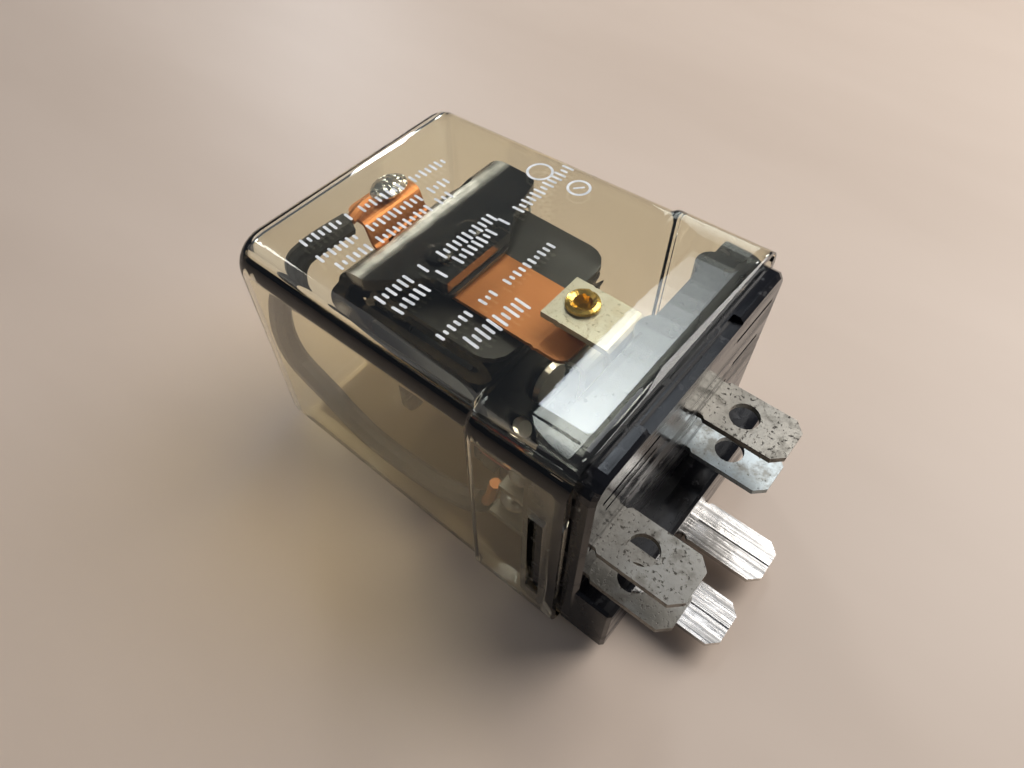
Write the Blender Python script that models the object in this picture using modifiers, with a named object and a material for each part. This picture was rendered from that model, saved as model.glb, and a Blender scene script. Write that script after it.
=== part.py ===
"""Plug-in power relay in a clear dust cover, with quick-connect tabs on its base.

The relay lies on the back of its cover. +X runs along its length towards the
terminals, +Y across its width and +Z up through its front face. The origin is
under the middle of the overall length and width, on the face it rests on.
Sizes are in millimetres and become metres in the helper functions.
"""

import math

import bmesh
import bpy
from mathutils import Matrix, Vector

MM = 0.001
GAP = 0.3

# Cover
COVER_LENGTH = 48.4
COVER_WIDTH = 38.9
COVER_HEIGHT = 35.7
COVER_WALL = 1.1
CORNER_RADIUS = 3.9
SKIRT_LENGTH = 12.0
SKIRT_STEP = 0.5
SIDE_DRAFT = 0.6
FRONT_FALL = 1.9
COIL_TAB_REACH = 16.9
OVERALL_LENGTH = COVER_LENGTH + COIL_TAB_REACH
END_X = -OVERALL_LENGTH / 2
RIM_X = END_X + COVER_LENGTH
SNAP_WINDOW_X = (RIM_X - 4.1, RIM_X - 2.2)
SNAP_WINDOW_Z = (7.6, 25.0)

# Base
BASE_DEPTH_INSIDE = 5.1
BASE_PROUD = 2.0
BASE_INNER_X = RIM_X - BASE_DEPTH_INSIDE
BASE_FACE_X = RIM_X + BASE_PROUD
BASE_HALF_WIDTH = COVER_WIDTH / 2 - COVER_WALL - GAP
BASE_BOTTOM_Z = COVER_WALL + GAP
BASE_TOP_Z = 34.0
STEP_X = RIM_X + 6.4
STEP_TOP_Z = 11.5

# Quick-connect tabs, 6.35 mm by 0.8 mm
TAB_WIDTH = 6.35
TAB_THICKNESS = 0.8
TAB_NECK = 5.6
TAB_TIP_X = RIM_X + 12.2
TAB_HOLE_X = RIM_X + 6.2
TAB_HOLE_RADIUS = 1.75
TAB_CHAMFER = 1.25
TAB_SHOULDER_X = BASE_FACE_X + 0.45
FRONT_ROW_Z = 22.0
BACK_ROW_Z = 15.0
COIL_ROW_Z = 3.4
RIGHT_TAB_Y = 6.4
LEFT_TAB_Y = -14.0
COIL_TAB_RIGHT_Y = 2.65
COIL_TAB_LEFT_Y = -7.35

# Magnet: frame, coil and armature share one centre line
MAGNET_Y = 2.4
COIL_Z = 12.5
FRAME_THICKNESS = 2.0
FRAME_TOP_Z = 25.4
FRAME_HINGE_X = -21.7
FOOT_OUTER_X = -2.2
FOOT_INNER_X = FOOT_OUTER_X - FRAME_THICKNESS
FRAME_HALF_WIDTH = 10.5
ARMATURE_THICKNESS = 1.6
ARMATURE_TOP_Z = 30.2
ARMATURE_FACE_X = FRAME_HINGE_X - 0.35
ARMATURE_OUTER_X = ARMATURE_FACE_X - ARMATURE_THICKNESS
ARMATURE_BEND_RADIUS = 4.0
ARMATURE_HALF_WIDTH = 13.1
ARMATURE_FOOT_Z = 6.5
POLE_FACE_X = ARMATURE_FACE_X + 0.8
FLANGE_SIDE = 21.2
SPRING_X = -16.5
SPRING_Y = 15.2

# Contacts
BLADE_Y = 0.2
BLADE_WIDTH = 9.1
BLADE_THICKNESS = 0.5
BLADE_BOTTOM_Z = 27.1
BLADE_TOP_Z = BLADE_BOTTOM_Z + BLADE_THICKNESS
BLADE_TIP_X = 4.6
TAIL_TOP_Z = 30.65
CONTACT_X = 2.6
CONTACT_Y = 1.4
FRONT_STRIP_TOP_Z = 30.8
BACK_STRIP_TOP_Z = 25.8
STRIP_Y = 1.1
STRIP_HALF_WIDTH = 3.3
RIVET_X = -15.0


def clear_scene():
    """Empty the scene, so that only the relay is left in it."""
    for leftover in list(bpy.data.objects):
        bpy.data.objects.remove(leftover, do_unlink=True)


clear_scene()
relay = bpy.data.collections.new("power_relay")
cutters = bpy.data.collections.new("cutters")
bpy.context.scene.collection.children.link(relay)
bpy.context.scene.collection.children.link(cutters)


def material(name, colour, roughness, metallic=0.0, alpha=1.0):
    """A Principled BSDF of one colour."""
    made = bpy.data.materials.new(name)
    made.use_nodes = True
    shader = made.node_tree.nodes["Principled BSDF"]
    shader.inputs["Base Color"].default_value = (*colour, 1.0)
    shader.inputs["Roughness"].default_value = roughness
    shader.inputs["Metallic"].default_value = metallic
    shader.inputs["Alpha"].default_value = alpha
    return made


CLEAR_COVER = material("clear_polycarbonate", (0.86, 0.82, 0.66), 0.08, alpha=0.25)
BLACK_MOULDING = material("black_phenolic", (0.012, 0.012, 0.014), 0.22)
BLACK_SHEET = material("black_fibre_sheet", (0.02, 0.02, 0.022), 0.45)
DULL_TIN = material("dull_tinned_brass", (0.42, 0.41, 0.37), 0.5, 1.0)
BRIGHT_TIN = material("bright_tinned_brass", (0.82, 0.80, 0.76), 0.18, 1.0)
DARK_STEEL = material("dark_plated_steel", (0.09, 0.09, 0.095), 0.3, 1.0)
BARE_STEEL = material("bare_steel", (0.5, 0.5, 0.5), 0.35, 1.0)
COPPER = material("copper", (0.78, 0.38, 0.17), 0.35, 1.0)
BRASS = material("brass", (0.78, 0.6, 0.2), 0.2, 1.0)
SILVER = material("contact_silver", (0.85, 0.84, 0.8), 0.25, 1.0)
SOLDER = material("solder", (0.8, 0.8, 0.8), 0.15, 1.0)
SLEEVE = material("black_sleeve", (0.015, 0.015, 0.015), 0.55)
TAPE = material("black_tape", (0.02, 0.02, 0.03), 0.35)
ENAMEL = material("enamelled_wire", (0.45, 0.15, 0.05), 0.3, 0.6)
LEAD_JACKET = material("lead_jacket", (0.5, 0.05, 0.04), 0.45)


def metres(*values):
    return Vector([value * MM for value in values])


def add_object(name, data, finish=None):
    """Link data as an object: a relay part when it has a finish, else a hidden cutter."""
    made = bpy.data.objects.new(name, data)
    if finish is None:
        cutters.objects.link(made)
        made.hide_render = True
        made.display_type = "WIRE"
    else:
        relay.objects.link(made)
        data.materials.append(finish)
    return made


def mesh_from(shape, name):
    data = bpy.data.meshes.new(name)
    bmesh.ops.recalc_face_normals(shape, faces=shape.faces)
    shape.to_mesh(data)
    shape.free()
    return data


def box(name, x, y, z, finish=None, bevel=0.0):
    """A box between the given pairs of limits."""
    shape = bmesh.new()
    bmesh.ops.create_cube(shape, size=1.0)
    size = metres(x[1] - x[0], y[1] - y[0], z[1] - z[0])
    bmesh.ops.scale(shape, vec=size, verts=shape.verts)
    made = add_object(name, mesh_from(shape, name), finish)
    made.location = metres((x[0] + x[1]) / 2, (y[0] + y[1]) / 2, (z[0] + z[1]) / 2)
    if bevel:
        add_bevel(made, bevel)
    return made


def add_bevel(target, width, segments=1):
    edge = target.modifiers.new("edges", "BEVEL")
    edge.width = width * MM
    edge.segments = segments
    edge.limit_method = "ANGLE"


AXIS_TURN = {
    "X": Matrix.Rotation(math.pi / 2, 4, "Y"),
    "Y": Matrix.Rotation(-math.pi / 2, 4, "X"),
    "Z": Matrix.Identity(4),
}


def cylinder(name, radius, start, end, centre, axis, finish=None, sides=24):
    """A cylinder along an axis from start to end, centred on the other two coordinates."""
    shape = bmesh.new()
    length = end - start
    bmesh.ops.create_cone(
        shape, cap_ends=True, segments=sides, radius1=radius * MM, radius2=radius * MM, depth=length * MM
    )
    bmesh.ops.transform(shape, matrix=AXIS_TURN[axis], verts=shape.verts)
    made = add_object(name, mesh_from(shape, name), finish)
    middle = list(centre)
    middle.insert("XYZ".index(axis), (start + end) / 2)
    made.location = metres(*middle)
    return made


def ball(name, radii, centre, finish=None, sides=16):
    """An ellipsoid."""
    shape = bmesh.new()
    bmesh.ops.create_uvsphere(shape, u_segments=sides, v_segments=sides // 2, radius=MM)
    bmesh.ops.scale(shape, vec=Vector(radii), verts=shape.verts)
    made = add_object(name, mesh_from(shape, name), finish)
    made.location = metres(*centre)
    return made


def rounded_outline(corners, steps=4):
    """Points round a polygon whose corners are (u, v, radius), turning each corner on an arc."""
    points = []
    for index, (u, v, radius) in enumerate(corners):
        corner = Vector((u, v))
        if radius == 0:
            points.append(corner)
            continue
        before = (Vector(corners[index - 1][:2]) - corner).normalized()
        after = (Vector(corners[(index + 1) % len(corners)][:2]) - corner).normalized()
        half_angle = before.angle(after) / 2
        centre = corner + (before + after).normalized() * radius / math.sin(half_angle)
        start = corner + before * radius / math.tan(half_angle) - centre
        end = corner + after * radius / math.tan(half_angle) - centre
        sweep = start.angle_signed(end)
        for step in range(steps + 1):
            turned = Matrix.Rotation(-sweep * step / steps, 2) @ start
            points.append(centre + turned)
    return points


PLANE_TURN = {
    "XY": Matrix.Identity(4),
    "XZ": Matrix.Rotation(math.pi / 2, 4, "X"),
    "YZ": Matrix.Rotation(math.pi / 2, 4, "Z") @ Matrix.Rotation(math.pi / 2, 4, "X"),
}


def plate(name, outline, low, high, plane, finish=None):
    """A flat outline in a plane, given thickness from low to high along the third axis."""
    curve = bpy.data.curves.new(name + "_outline", "CURVE")
    curve.dimensions = "2D"
    curve.fill_mode = "BOTH"
    curve.extrude = (high - low) / 2 * MM
    spline = curve.splines.new("POLY")
    spline.points.add(len(outline) - 1)
    for point, (u, v) in zip(spline.points, outline):
        point.co = (u * MM, v * MM, 0, 1)
    spline.use_cyclic_u = True
    guide = bpy.data.objects.new(name + "_guide", curve)
    bpy.context.scene.collection.objects.link(guide)
    bpy.context.view_layer.update()
    graph = bpy.context.evaluated_depsgraph_get()
    data = bpy.data.meshes.new_from_object(guide.evaluated_get(graph))
    bpy.data.objects.remove(guide, do_unlink=True)
    shape = bmesh.new()
    shape.from_mesh(data)
    bmesh.ops.remove_doubles(shape, verts=shape.verts, dist=1e-6)
    bmesh.ops.transform(shape, matrix=PLANE_TURN[plane], verts=shape.verts)
    bpy.data.meshes.remove(data)
    made = add_object(name, mesh_from(shape, name), finish)
    offset = {"XY": (0, 0, 1), "XZ": (0, 1, 0), "YZ": (1, 0, 0)}[plane]
    made.location = Vector(offset) * (low + high) / 2 * MM
    return made


def rectangle(u, v, radius=0.0):
    """The four corners of a rectangle between two pairs of limits, all with one radius."""
    return [(u[0], v[0], radius), (u[1], v[0], radius), (u[1], v[1], radius), (u[0], v[1], radius)]


def strip_outline(centre_line, thickness, radius, steps=4):
    """The side view of a bent strip: its centre line moved half the thickness to each side."""
    path = [Vector(point) for point in centre_line]
    sides = ([], [])
    for index, point in enumerate(path):
        before = (point - path[index - 1]).normalized() if index else None
        after = (path[index + 1] - point).normalized() if index < len(path) - 1 else None
        way = ((before or after) + (after or before)).normalized()
        normal = Vector((-way.y, way.x))
        stretch = 1 / normal.dot(Vector((-(after or before).y, (after or before).x)))
        turn = 0 if before is None or after is None else before.angle_signed(after)
        for side, sign in enumerate((1, -1)):
            corner = point + normal * sign * stretch * thickness / 2
            outside = turn * sign > 0
            bend = 0 if turn == 0 else radius + (thickness if outside else 0)
            sides[side].append((corner.x, corner.y, bend))
    return rounded_outline(sides[0] + sides[1][::-1], steps)


def ring_section(x, half_width, bottom, top, radius, steps=4):
    """Points round a rounded rectangle across the X axis."""
    corners = rectangle((-half_width, half_width), (bottom, top), radius)
    return [metres(x, point.x, point.y) for point in rounded_outline(corners, steps)]


def loft(name, sections, finish=None):
    """A closed body through like sections, with flat ends."""
    shape = bmesh.new()
    rings = [[shape.verts.new(point) for point in section] for section in sections]
    count = len(rings[0])
    for near, far in zip(rings, rings[1:]):
        for index in range(count):
            following = (index + 1) % count
            shape.faces.new((near[index], near[following], far[following], far[index]))
    shape.faces.new(rings[0])
    shape.faces.new(rings[-1])
    return add_object(name, mesh_from(shape, name), finish)


def turned(name, profile, centre, axis, finish=None, sides=24):
    """A closed profile of (radius, height) points turned round an axis through centre."""
    data = bpy.data.meshes.new(name)
    points = [(radius * MM, 0, height * MM) for radius, height in profile]
    edges = [(index, (index + 1) % len(points)) for index in range(len(points))]
    data.from_pydata(points, edges, [])
    made = add_object(name, data, finish)
    screw = made.modifiers.new("turn", "SCREW")
    screw.axis = "Z"
    screw.steps = sides
    screw.render_steps = sides
    screw.use_merge_vertices = True
    screw.merge_threshold = 0.00001
    made.matrix_world = Matrix.Translation(metres(*centre)) @ AXIS_TURN[axis]
    return made


def smooth_route(points, per_span):
    """Points along a Catmull-Rom curve through the given ones."""
    path = [Vector(point) for point in points]
    path = [2 * path[0] - path[1]] + path + [2 * path[-1] - path[-2]]
    route = []
    for a, b, c, d in zip(path, path[1:], path[2:], path[3:]):
        for step in range(per_span):
            t = step / per_span
            pull = 2 * b + (c - a) * t + (2 * a - 5 * b + 4 * c - d) * t**2
            route.append((pull + (3 * b - a - 3 * c + d) * t**3) / 2)
    return route + [path[-2]]


def tube(name, route, radius, finish, resolution=2):
    """A round wire along a route of points."""
    curve = bpy.data.curves.new(name, "CURVE")
    curve.dimensions = "3D"
    curve.bevel_depth = radius * MM
    curve.bevel_resolution = resolution
    curve.use_fill_caps = True
    spline = curve.splines.new("POLY")
    spline.points.add(len(route) - 1)
    for point, place in zip(spline.points, route):
        point.co = (*metres(*place), 1)
    return add_object(name, curve, finish)


def combine(target, other, operation="DIFFERENCE"):
    """Cut or join a hidden helper with a part."""
    step = target.modifiers.new(other.name, "BOOLEAN")
    step.operation = operation
    step.solver = "EXACT"
    step.object = other


# --------------------------------------------------------------------- cover


def cover_half_width(x):
    """Outer half width of the cover: drafted body, then a straight skirt at the open end."""
    from_rim = RIM_X - x
    if from_rim <= SKIRT_LENGTH - 0.6:
        return COVER_WIDTH / 2
    return COVER_WIDTH / 2 - SKIRT_STEP - SIDE_DRAFT * from_rim / COVER_LENGTH


def cover_top(x):
    return COVER_HEIGHT - FRONT_FALL * (RIM_X - x) / COVER_LENGTH


def cover_section(x, inset):
    half_width = cover_half_width(x) - inset
    return ring_section(x, half_width, inset, cover_top(x) - inset, CORNER_RADIUS - inset)


def build_cover():
    skirt_x = RIM_X - SKIRT_LENGTH
    outer_at = (END_X + 0.5, skirt_x, skirt_x + 0.7, RIM_X)
    end_edge = ring_section(
        END_X, cover_half_width(END_X) - 0.5, 0.5, cover_top(END_X) - 0.5, CORNER_RADIUS - 0.5
    )
    cover = loft("dust_cover", [end_edge] + [cover_section(x, 0) for x in outer_at], CLEAR_COVER)
    inner_at = (END_X + COVER_WALL, skirt_x, skirt_x + 0.7, RIM_X + 1)
    combine(cover, loft("cover_hollow", [cover_section(x, COVER_WALL) for x in inner_at]))
    for side, name in ((-1, "left"), (1, "right")):
        outside = (side * 16, side * 22)
        window = box("snap_window_" + name, SNAP_WINDOW_X, (min(outside), max(outside)), SNAP_WINDOW_Z)
        combine(cover, window)
    return cover


# ---------------------------------------------------------------------- base


def terminal_slots():
    """(name, y, z, first x) of each strip that passes through the base."""
    return (
        ("front_right", RIGHT_TAB_Y, FRONT_ROW_Z, BASE_INNER_X - 1),
        ("back_right", RIGHT_TAB_Y, BACK_ROW_Z, BASE_INNER_X - 1),
        ("front_left", LEFT_TAB_Y, FRONT_ROW_Z, BASE_INNER_X - 1),
        ("back_left", LEFT_TAB_Y, BACK_ROW_Z, BASE_INNER_X - 1),
        ("coil_right", COIL_TAB_RIGHT_Y, COIL_ROW_Z, 8.0),
        ("coil_left", COIL_TAB_LEFT_Y, COIL_ROW_Z, 8.0),
    )


def build_base():
    block = [
        ring_section(BASE_INNER_X, BASE_HALF_WIDTH, BASE_BOTTOM_Z, BASE_TOP_Z, 2.5),
        ring_section(BASE_FACE_X - 0.5, BASE_HALF_WIDTH, BASE_BOTTOM_Z, BASE_TOP_Z, 2.5),
        ring_section(BASE_FACE_X, BASE_HALF_WIDTH - 0.5, BASE_BOTTOM_Z + 0.5, BASE_TOP_Z - 0.5, 2.0),
    ]
    base = loft("base_block", block, BLACK_MOULDING)
    step_sides = (-BASE_HALF_WIDTH + 0.25, BASE_HALF_WIDTH - 0.25)
    step_height = (BASE_BOTTOM_Z, STEP_TOP_Z)
    rear_step = box("rear_step", (BASE_FACE_X - 2, STEP_X), step_sides, step_height, bevel=0.4)
    combine(base, rear_step, "UNION")
    saddle_y = (MAGNET_Y - 10.2, MAGNET_Y + 9.8)
    saddle = box("coil_saddle", (FOOT_OUTER_X + GAP, BASE_INNER_X + 2), saddle_y, (1.7, 7.5), bevel=0.4)
    combine(base, saddle, "UNION")
    for name, x, y, radius in (("middle", 1.2, 1.0, 2.4), ("right", 0.5, 13.0, 1.9)):
        post = cylinder("inner_post_" + name, radius, 23.6, 33.4, (BASE_INNER_X + x, y), "Z", sides=20)
        combine(base, post, "UNION")
    for side, name in ((-1, "left"), (1, "right")):
        lug_y = sorted((side * (BASE_HALF_WIDTH - 1), side * (COVER_WIDTH / 2 - 0.55)))
        lug_x = (SNAP_WINDOW_X[0] + 0.8, SNAP_WINDOW_X[1] - GAP)
        lug = box("snap_lug_" + name, lug_x, lug_y, (SNAP_WINDOW_Z[0] + 0.6, SNAP_WINDOW_Z[1] - 0.6))
        combine(base, lug, "UNION")
    for name, y, z, start in terminal_slots():
        half_width = TAB_NECK / 2 + GAP
        half_height = TAB_THICKNESS / 2 + GAP
        slot = box("slot_" + name, (start, STEP_X + 1), (y - half_width, y + half_width),
                   (z - half_height, z + half_height))
        combine(base, slot)
    well = box("lead_well", (7.4, BASE_INNER_X + 0.05), (-11.5, 6.6), (2.7, 9.0))
    combine(base, well)
    for index, y in enumerate((-3.1, 7.9)):
        pocket = box(f"tongue_pocket_{index}", (-4, 3.2), (y - 1.8, y + 1.8), (3.3, 5.5))
        combine(base, pocket)
    return base


def base_face_marks(base):
    """Shallow mould grooves on the end face and the long recess on the front edge."""
    front_left = (BASE_FACE_X - 0.5, BASE_FACE_X + 1)
    grooves = (
        ("left_long", (-16.2, -6.6), (29.7, 30.3)),
        ("left_short", (-15.4, -6.6), (27.6, 28.1)),
        ("right_long", (8.3, 16.2), (29.9, 30.5)),
        ("right_short", (9.9, 15.6), (24.5, 25.1)),
    )
    for name, y, z in grooves:
        combine(base, box("groove_" + name, front_left, y, z))
    recess_z = (BASE_TOP_Z - 0.7, BASE_TOP_Z + 1)
    combine(base, box("front_recess", (RIM_X + 0.7, BASE_FACE_X + 1), (-9.4, 8.0), recess_z))


# ----------------------------------------------------------------- terminals


def tab_outline(inner_x, y, tip_x=TAB_TIP_X, shoulder_x=TAB_SHOULDER_X):
    """A quick-connect blade seen from the front: neck, shoulders and a chamfered tip."""
    neck = TAB_NECK / 2
    half = TAB_WIDTH / 2
    one_side = [(inner_x, neck), (shoulder_x, neck), (shoulder_x + 0.4, half), (tip_x - TAB_CHAMFER, half),
                (tip_x, half - TAB_CHAMFER)]
    upper = [(x, y + v, 0) for x, v in one_side]
    lower = [(x, y - v, 0) for x, v in one_side]
    return rounded_outline(lower + upper[::-1])


def tab(name, inner_x, y, z, finish):
    half = TAB_THICKNESS / 2
    blade = plate(name, tab_outline(inner_x, y), z - half, z + half, "XY", finish)
    hole = cylinder(name + "_hole", TAB_HOLE_RADIUS, z - 2, z + 2, (TAB_HOLE_X, y), "Z")
    combine(blade, hole)
    return blade


def contact_strip(name, centre_line, riser_x, riser_z, tab_z):
    """A stationary-contact terminal: bent strip, riser plate behind the base, and its tab."""
    terminal = tab(name, riser_x, RIGHT_TAB_Y, tab_z, DULL_TIN)
    side_view = strip_outline(centre_line, TAB_THICKNESS, 0.5)
    y = (STRIP_Y - STRIP_HALF_WIDTH, STRIP_Y + STRIP_HALF_WIDTH)
    arm = plate(name + "_arm", side_view, *y, "XZ")
    riser_depth = (riser_x - 0.04, riser_x + TAB_THICKNESS + 0.04)
    riser_width = (y[0] - 0.05, RIGHT_TAB_Y + TAB_NECK / 2 + 0.05)
    riser = box(name + "_riser", riser_depth, riser_width, riser_z)
    combine(terminal, riser, "UNION")
    combine(terminal, arm, "UNION")
    return terminal


def build_contact_terminals():
    half = TAB_THICKNESS / 2
    front_z = FRONT_STRIP_TOP_Z - half
    front_line = [(-0.35, front_z), (8.6, front_z), (8.6, FRONT_ROW_Z)]
    front_riser = (FRONT_ROW_Z - half - 0.05, 25.2)
    front = contact_strip("no_contact_terminal", front_line, 8.2, front_riser, FRONT_ROW_Z)
    front_hole = cylinder("eyelet_hole", 1.75, 28, 33, (CONTACT_X, CONTACT_Y), "Z")
    combine(front, front_hole)
    back_z = BACK_STRIP_TOP_Z - half
    back_line = [(-0.5, back_z), (5.9, back_z), (5.9, BACK_ROW_Z)]
    back_riser = (BACK_ROW_Z - half - 0.05, 22.0)
    back = contact_strip("nc_contact_terminal", back_line, 5.5, back_riser, BACK_ROW_Z)
    back_hole = cylinder("button_hole", 1.2, 23, 28, (CONTACT_X, CONTACT_Y), "Z")
    combine(back, back_hole)


def build_left_terminals():
    tab("common_terminal", 5.0, LEFT_TAB_Y, BACK_ROW_Z, DULL_TIN)
    tab("tie_terminal", 6.4, LEFT_TAB_Y, FRONT_ROW_Z, DULL_TIN)


def build_coil_terminals():
    """Tabs folded double from thin strip, so their long edges are round and a seam runs down them."""
    half = TAB_THICKNESS / 2
    tip_x = RIM_X + COIL_TAB_REACH
    for name, y in (("coil_terminal_1", COIL_TAB_RIGHT_Y), ("coil_terminal_2", COIL_TAB_LEFT_Y)):
        outline = tab_outline(8.3, y, tip_x, STEP_X + 0.4)
        blade = plate(name, outline, COIL_ROW_Z - half, COIL_ROW_Z + half, "XY", BRIGHT_TIN)
        seam = box(name + "_seam", (STEP_X + 0.6, tip_x + 1), (y - 0.12, y + 0.12),
                   (COIL_ROW_Z + half - 0.2, COIL_ROW_Z + half + 0.5))
        combine(blade, seam)


# -------------------------------------------------------------------- magnet


def build_frame():
    """L-shaped frame: the long leg carries the armature's knife edge, the foot holds the core."""
    middle_z = FRAME_TOP_Z - FRAME_THICKNESS / 2
    middle_x = FOOT_OUTER_X - FRAME_THICKNESS / 2
    side_view = strip_outline([(FRAME_HINGE_X, middle_z), (middle_x, middle_z), (middle_x, 2.8)],
                              FRAME_THICKNESS, 0.8)
    y = (MAGNET_Y - FRAME_HALF_WIDTH, MAGNET_Y + FRAME_HALF_WIDTH)
    frame = plate("frame", side_view, *y, "XZ", DARK_STEEL)
    combine(frame, cylinder("core_hole", 2.7, -6, 0, (MAGNET_Y, COIL_Z), "X"))
    for index, middle in enumerate((-3.1, 7.9)):
        tongue_x = (FOOT_OUTER_X - 1, 2.6)
        tongue = box(f"frame_tongue_{index}", tongue_x, (middle - 1.5, middle + 1.5), (3.6, 5.2))
        combine(frame, tongue, "UNION")
    side_y = MAGNET_Y + FRAME_HALF_WIDTH
    lug_x = (SPRING_X - 0.8, SPRING_X + 0.8)
    arm = box("spring_arm", lug_x, (side_y - 0.3, side_y + 0.7), (13.0, FRAME_TOP_Z - 0.2))
    lug = box("spring_lug", lug_x, (side_y, SPRING_Y + 0.9), (13.0, 14.0))
    combine(frame, arm, "UNION")
    combine(frame, lug, "UNION")
    return frame


def build_frame_insulator():
    y = (-8.6, 13.5)
    corners = [(-18.5, y[0], 0.8), (-1.35, y[0], 3.2), (-1.35, y[1], 3.2), (-18.5, y[1], 0.8)]
    low = FRAME_TOP_Z + GAP
    return plate("frame_insulator", rounded_outline(corners), low, low + 0.8, "XY", BLACK_SHEET)


def build_core():
    """Soft iron core with a pole head at one end and a staked neck through the frame's foot."""
    stake_x = FOOT_OUTER_X + GAP
    x_and_radius = (
        (POLE_FACE_X, 5.5),
        (POLE_FACE_X + 1.8, 5.5),
        (POLE_FACE_X + 1.8, 3.2),
        (FOOT_INNER_X - GAP, 3.2),
        (FOOT_INNER_X - GAP, 2.4),
        (stake_x, 2.4),
        (stake_x, 3.2),
        (stake_x + 0.7, 2.9),
    )
    profile = [(radius, x) for x, radius in x_and_radius]
    profile = [(0, profile[-1][1])] + profile[::-1] + [(0, profile[0][1])]
    core = turned("core", profile, (0, MAGNET_Y, COIL_Z), "X", BARE_STEEL)
    groove_x = (POLE_FACE_X - 1, POLE_FACE_X + 0.9)
    groove = [(4.9, groove_x[1]), (4.9, groove_x[0]), (3.3, groove_x[0]), (3.3, groove_x[1])]
    combine(core, turned("ring_groove", groove, (0, MAGNET_Y, COIL_Z), "X"))
    ring_x = (POLE_FACE_X + 0.1, POLE_FACE_X + 0.6)
    ring = [(4.6, ring_x[1]), (4.6, ring_x[0]), (3.6, ring_x[0]), (3.6, ring_x[1])]
    turned("shading_ring", ring, (0, MAGNET_Y, COIL_Z), "X", COPPER)
    return core


def build_coil():
    half = FLANGE_SIDE / 2
    flange_y = (MAGNET_Y - half, MAGNET_Y + half)
    flange_z = (COIL_Z - half, COIL_Z + half)
    square = rounded_outline(rectangle(flange_y, flange_z, 2.2))
    front_x = (POLE_FACE_X + 1.8 + GAP, POLE_FACE_X + 1.8 + GAP + 1.1)
    rear_x = (FOOT_INNER_X - GAP - 1.1, FOOT_INNER_X - GAP)
    bobbin = plate("bobbin", square, *front_x, "YZ", BLACK_MOULDING)
    combine(bobbin, plate("rear_flange", square, *rear_x, "YZ"), "UNION")
    axis_at = (MAGNET_Y, COIL_Z)
    combine(bobbin, cylinder("bobbin_barrel", 4.5, front_x[0] + 0.2, rear_x[1] - 0.2, axis_at, "X"), "UNION")
    combine(bobbin, cylinder("bobbin_bore", 3.5, -25, 0, axis_at, "X"))
    wound_x = (front_x[1] + GAP, rear_x[0] - GAP)
    for name, inner, outer, finish in (("winding", 4.8, 9.2, ENAMEL), ("coil_wrap", 9.5, 9.9, TAPE)):
        ring = [(outer, wound_x[1]), (outer, wound_x[0]), (inner, wound_x[0]), (inner, wound_x[1])]
        turned(name, ring, (0, MAGNET_Y, COIL_Z), "X", finish, sides=32)
    return bobbin


def build_leads():
    """Insulated leads from the bobbin's rear flange, past the frame's foot, to the coil tabs."""
    tail_z = COIL_ROW_Z + TAB_THICKNESS / 2 + GAP
    left = [(-3.8, -8.7, 8.6), (-1.0, -8.9, 8.8), (3.0, -8.6, 9.0), (6.6, -7.8, 8.7), (8.9, -7.4, 7.0),
            (9.3, COIL_TAB_LEFT_Y, tail_z)]
    right = [(-3.8, -8.8, 11.6), (-0.5, -9.0, 11.8), (3.2, -6.4, 11.4), (6.4, -1.6, 10.4), (8.8, 1.8, 8.0),
             (9.3, COIL_TAB_RIGHT_Y, tail_z)]
    for name, points in (("coil_lead_1", right), ("coil_lead_2", left)):
        tube(name, smooth_route(points, 4), 0.45, LEAD_JACKET)


# ----------------------------------------------------------- moving armature


def pivot_empty():
    pivot = bpy.data.objects.new("armature_pivot", None)
    pivot.location = metres(FRAME_HINGE_X, MAGNET_Y, FRAME_TOP_Z)
    relay.objects.link(pivot)
    return pivot


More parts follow.
